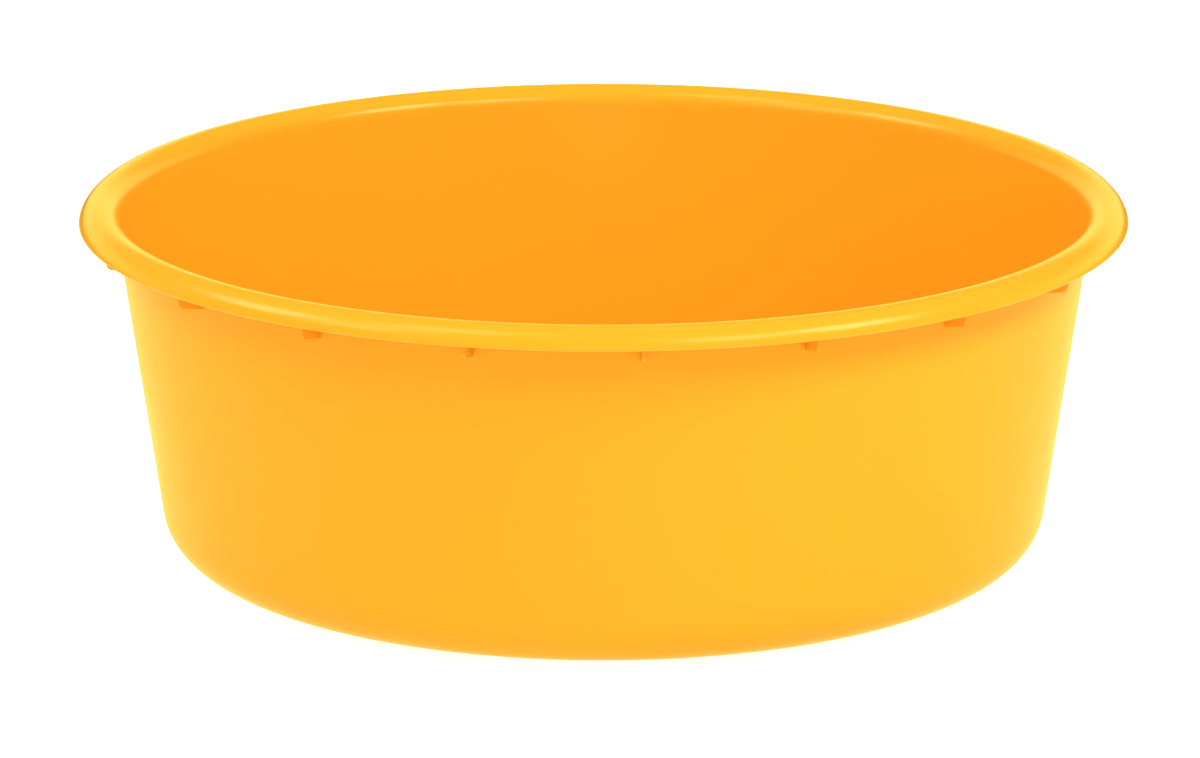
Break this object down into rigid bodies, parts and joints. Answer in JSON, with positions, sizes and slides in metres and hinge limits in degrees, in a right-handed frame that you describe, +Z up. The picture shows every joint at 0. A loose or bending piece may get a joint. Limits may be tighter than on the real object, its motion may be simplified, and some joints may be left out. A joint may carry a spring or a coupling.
{
  "type": "washing basin",
  "caption": "Shallow round plastic basin with a leaning wall, a wide turned-down rim stiffened by gussets and a low foot ring, for holding water while washing and cleaning.",
  "frame": {"origin": "centre of the foot ring's underside, on the surface the basin stands on", "axes": "+Z up through the middle of the basin, -Y towards the viewer of the picture, +X to the right"},
  "size_m": [0.3998, 0.4, 0.1383],
  "materials": {
    "orange_plastic": "glossy moulded polypropylene, warm yellow-orange"
  },
  "bodies": {
    "root": {"floor": "orange_plastic", "base_corner": "orange_plastic", "wall": "orange_plastic", "rim_band": "orange_plastic", "rim_skirt": "orange_plastic", "rim_rib_01": "orange_plastic", "rim_rib_02": "orange_plastic", "rim_rib_03": "orange_plastic", "rim_rib_04": "orange_plastic", "rim_rib_05": "orange_plastic", "rim_rib_06": "orange_plastic", "rim_rib_07": "orange_plastic", "rim_rib_08": "orange_plastic", "rim_rib_09": "orange_plastic", "rim_rib_10": "orange_plastic", "rim_rib_11": "orange_plastic", "rim_rib_12": "orange_plastic", "rim_rib_13": "orange_plastic", "rim_rib_14": "orange_plastic", "rim_rib_15": "orange_plastic", "rim_rib_16": "orange_plastic", "rim_rib_17": "orange_plastic", "rim_rib_18": "orange_plastic", "rim_rib_19": "orange_plastic", "foot_ring": "orange_plastic"}
  },
  "joints": []
}
